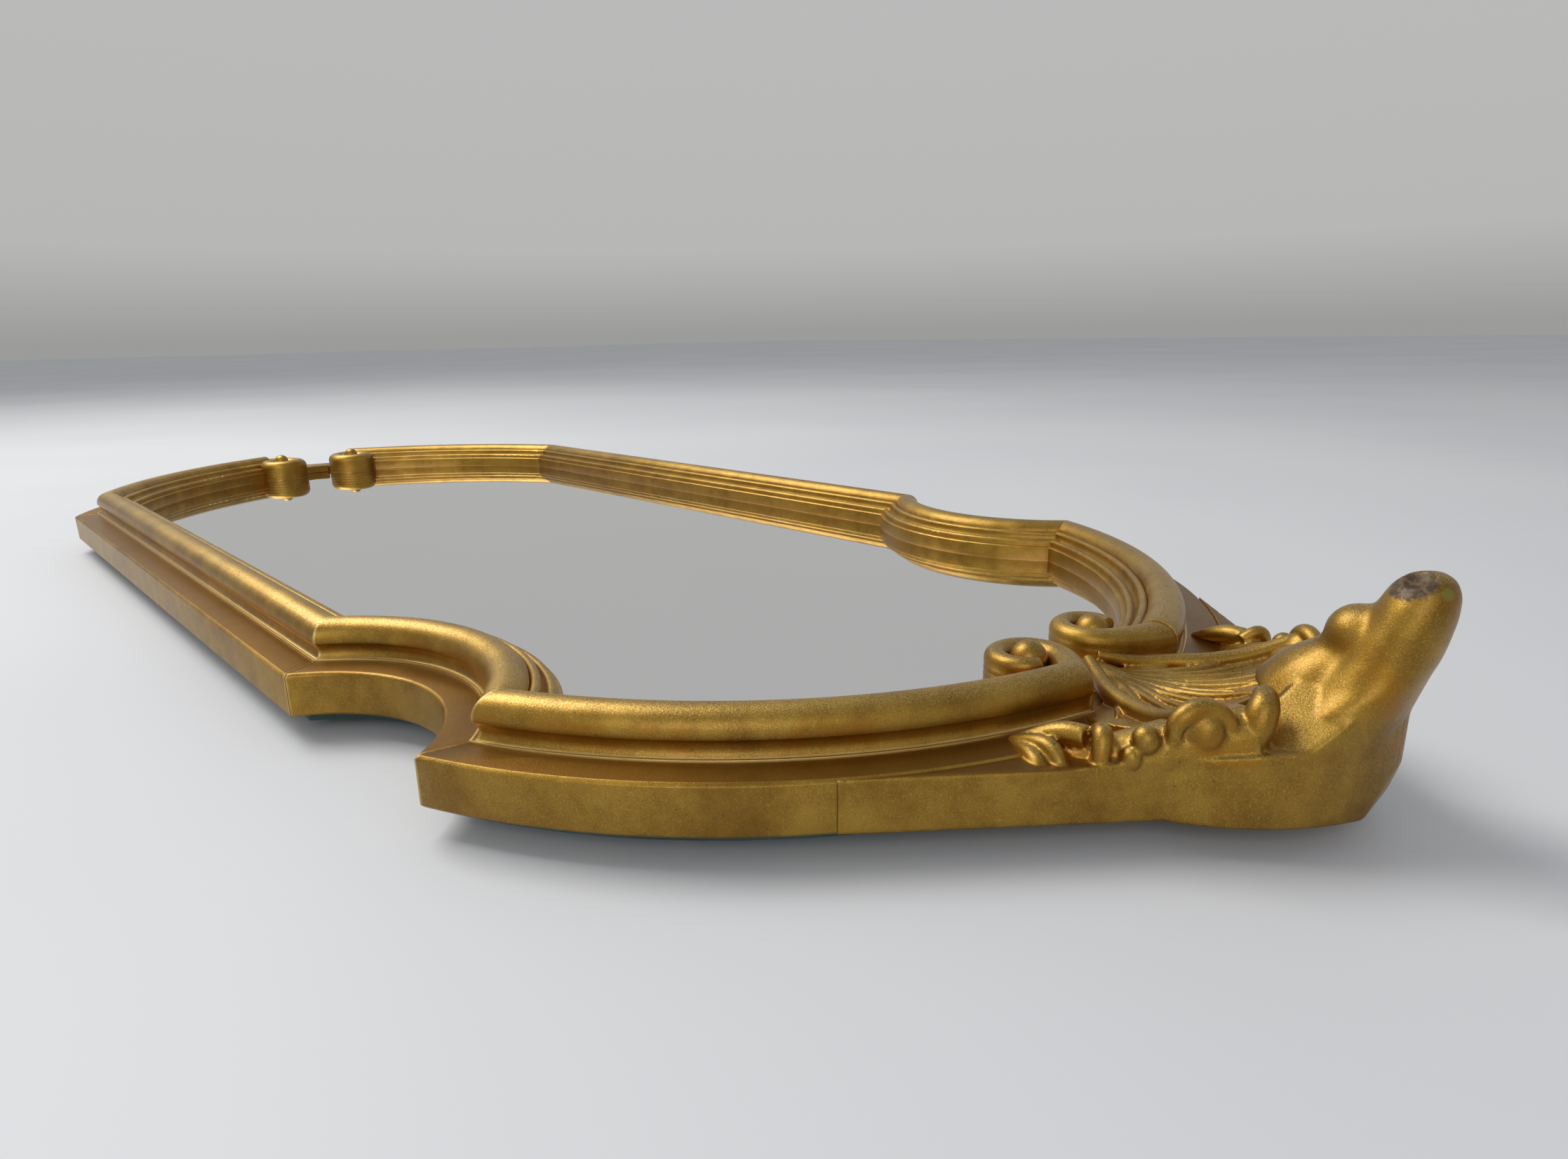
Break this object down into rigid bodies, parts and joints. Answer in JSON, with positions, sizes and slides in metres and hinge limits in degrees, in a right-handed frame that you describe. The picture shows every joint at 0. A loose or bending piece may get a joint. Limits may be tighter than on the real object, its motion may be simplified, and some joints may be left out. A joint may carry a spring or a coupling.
{
  "type": "wall mirror",
  "caption": "Gilded wall mirror with a shaped, notched frame, scrolled moulding ends and a carved crest that curls forward at the top.",
  "frame": {"origin": "centre of the bounding box on the surface the mirror lies on", "axes": "+Z out of the glass, away from the wall; +Y towards the bottom end of the hung mirror, the crest points to -Y; +X right when seen from above with the crest nearest"},
  "size_m": [0.264, 0.615, 0.0529],
  "materials": {
    "gilt_rail": "aged bronze-gold paint over a wood body, worn on the edges",
    "gilt_moulding": "aged bronze-gold paint, orange-brown lacquer in the hollows",
    "gilt_scroll": "aged bronze-gold paint",
    "gilt_crest": "aged bronze-gold paint over moulded composition, worn at the tip",
    "silvered_glass": "clean silvered glass with a few small specks",
    "card": "plain corrugated card",
    "green_board": "dark green stained hardboard",
    "felt": "dark felt",
    "plated_steel": "dull plated steel",
    "bare_beech": "unfinished"
  },
  "bodies": {
    "frame": {"backboard": "green_board", "backboard_screws": "plated_steel", "bead_far_left": "gilt_scroll", "bead_far_right": "gilt_scroll", "bead_near_left": "gilt_scroll", "bead_near_right": "gilt_scroll", "crest_base": "gilt_crest", "crest_dowels": "bare_beech", "crest_fan": "gilt_crest", "crest_horn": "gilt_crest", "crest_leaf_left": "gilt_crest", "crest_leaf_right": "gilt_crest", "crest_ribs": "gilt_crest", "far_bridge": "gilt_scroll", "felt_pads": "felt", "hanger_screws": "plated_steel", "hanger_strap_left": "plated_steel", "hanger_strap_right": "plated_steel", "mirror_glass": "silvered_glass", "moulding_far_left": "gilt_moulding", "moulding_far_right": "gilt_moulding", "moulding_long_left": "gilt_moulding", "moulding_long_right": "gilt_moulding", "moulding_near_left": "gilt_moulding", "moulding_near_right": "gilt_moulding", "moulding_notch_left": "gilt_moulding", "moulding_notch_right": "gilt_moulding", "packing_card": "card", "rail_far_left": "gilt_rail", "rail_far_right": "gilt_rail", "rail_long_left": "gilt_rail", "rail_long_right": "gilt_rail", "rail_near_left": "gilt_rail", "rail_near_right": "gilt_rail", "rail_notch_left": "gilt_rail", "rail_notch_right": "gilt_rail", "volute_far_left": "gilt_scroll", "volute_far_right": "gilt_scroll", "volute_near_left": "gilt_scroll", "volute_near_right": "gilt_scroll"},
    "ring_left": {"hanger_ring_left": "plated_steel"},
    "ring_right": {"hanger_ring_right": "plated_steel"}
  },
  "joints": [
    {"name": "ring_right_swing", "type": "hinge", "parent": "frame", "child": "ring_right", "pos_m": [0.07, -0.16568, 0.00184], "axis": [1, 0, 0], "range_deg": [0, 150]},
    {"name": "ring_left_swing", "type": "hinge", "parent": "frame", "child": "ring_left", "pos_m": [-0.07, -0.16568, 0.00184], "axis": [1, 0, 0], "range_deg": [0, 150]}
  ]
}
